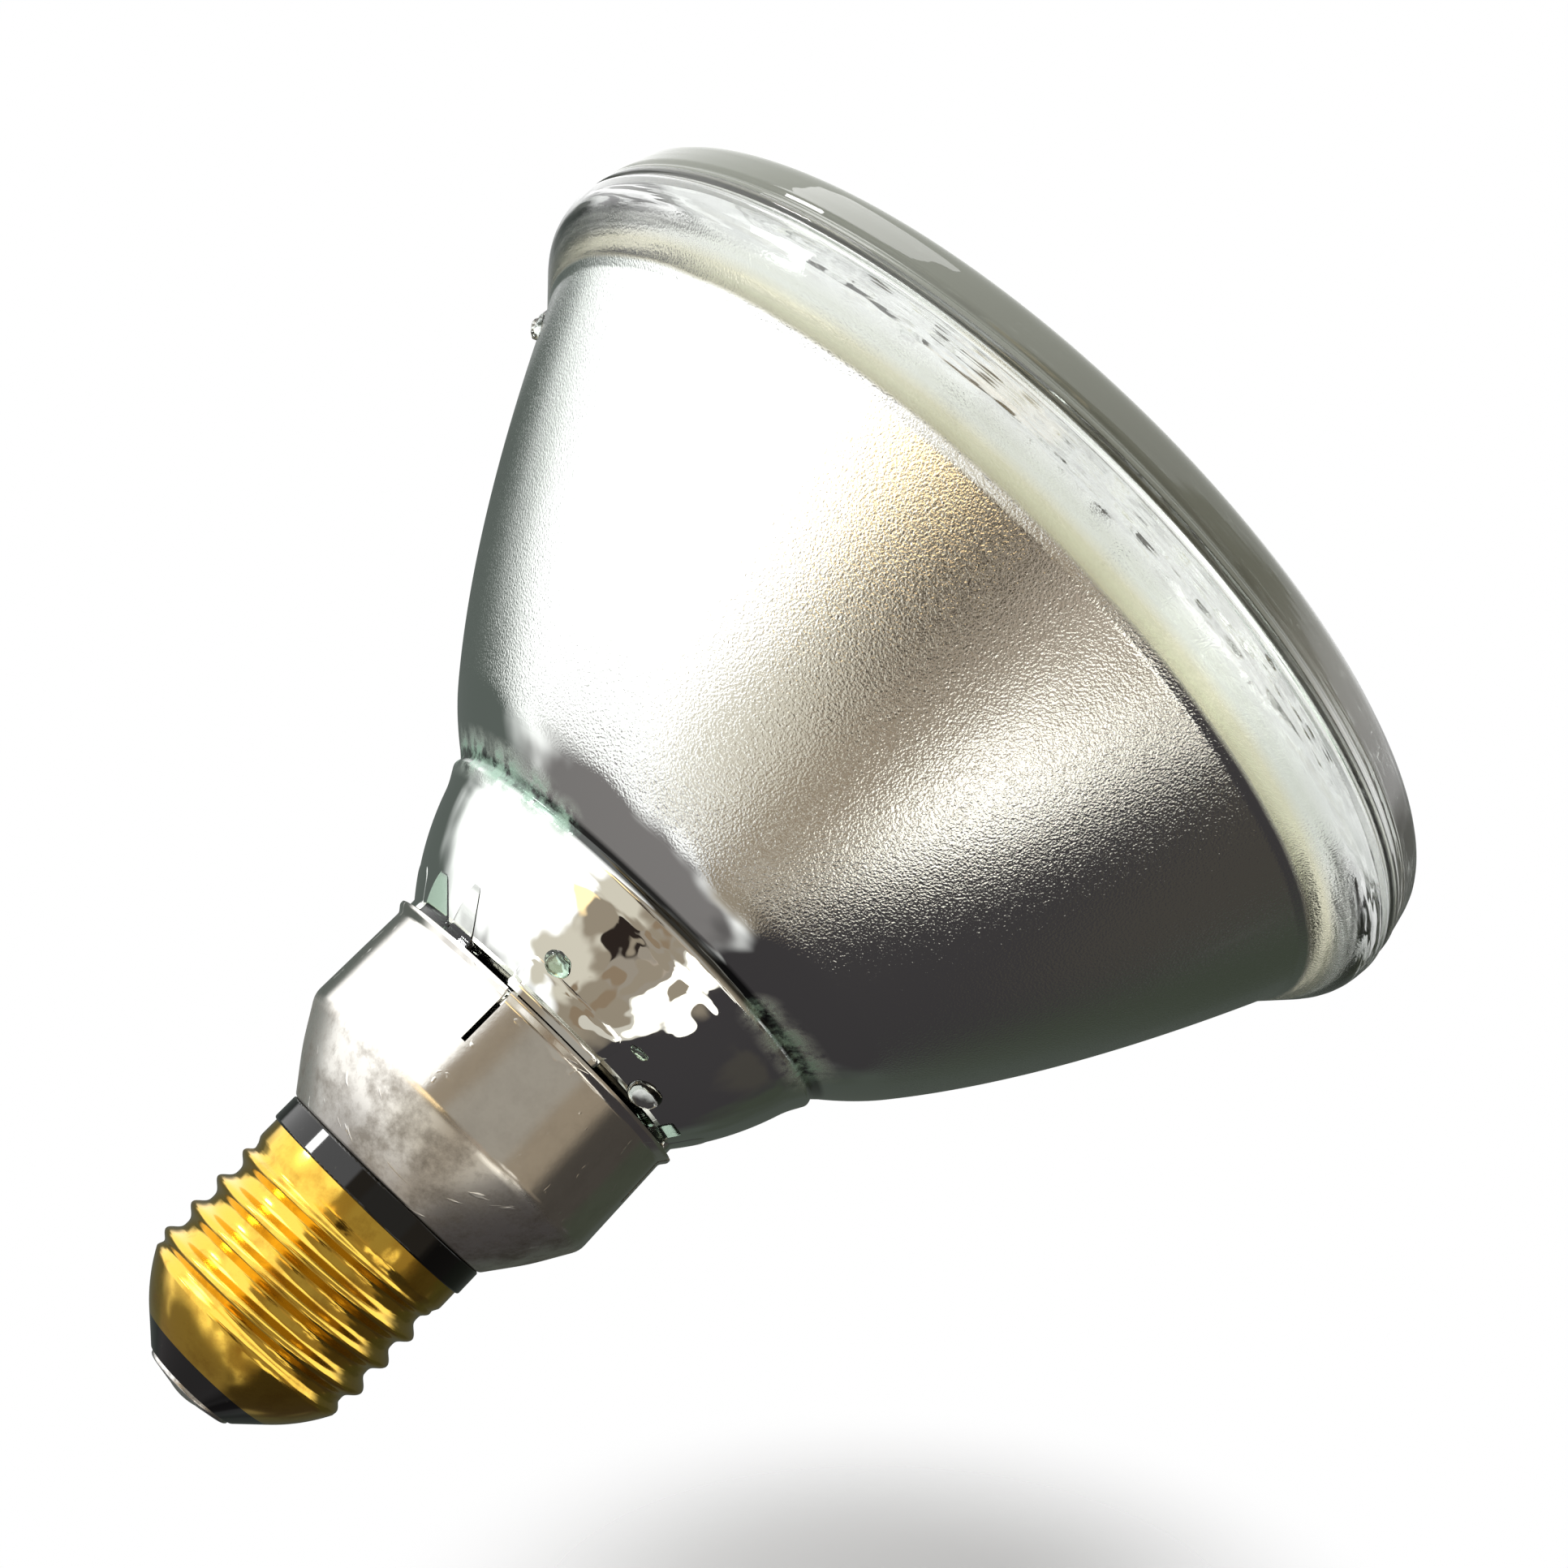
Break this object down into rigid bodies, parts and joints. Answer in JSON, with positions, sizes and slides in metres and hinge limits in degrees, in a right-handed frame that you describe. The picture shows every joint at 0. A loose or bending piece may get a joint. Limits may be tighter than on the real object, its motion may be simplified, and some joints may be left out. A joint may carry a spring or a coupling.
{
  "type": "parabolic reflector lamp bulb",
  "caption": "Sealed glass reflector lamp with a silvered bowl, a clear front lens and a skirted screw base, for a directed beam of light.",
  "frame": {"origin": "centre of the lens crown, the lowest point of the lamp standing on its lens", "axes": "+Z along the lamp's axis from the lens up to the centre contact, -Y towards the middle of one wide pad of the neck"},
  "size_m": [0.1206, 0.1206, 0.134],
  "materials": {
    "clear_glass": "pressed clear glass, pale green at its edges",
    "silvered_glass": "pressed stippled glass silvered inside, clear at the flange",
    "aluminium_sheet": "drawn satin sheet with fine scratches",
    "brass_sheet": "rolled, bright with light tarnish",
    "black_glass": "moulded glossy black",
    "tinned_contact": "tinned, lightly scuffed",
    "solder": "dull bright solder",
    "quartz": "clear blown quartz",
    "tungsten": "dark drawn wire",
    "molybdenum": "bright foil and wire",
    "nickel_wire": "nickel-plated"
  },
  "bodies": {
    "root": {"lens": "clear_glass", "reflector": "silvered_glass", "skirt": "aluminium_sheet", "insulating_ring": "black_glass", "screw_shell": "brass_sheet", "base_insulator": "black_glass", "centre_contact": "tinned_contact", "contact_solder": "solder", "capsule": "quartz", "filament": "tungsten", "inner_lead_left": "tungsten", "inner_lead_right": "tungsten", "foil_left": "molybdenum", "foil_right": "molybdenum", "outer_lead_left": "molybdenum", "outer_lead_right": "molybdenum", "support_wire_left": "nickel_wire", "support_wire_right": "nickel_wire", "ferrule_left": "nickel_wire", "ferrule_right": "nickel_wire", "exhaust_tube": "clear_glass", "centre_lead": "nickel_wire", "shell_lead": "nickel_wire"}
  },
  "joints": []
}
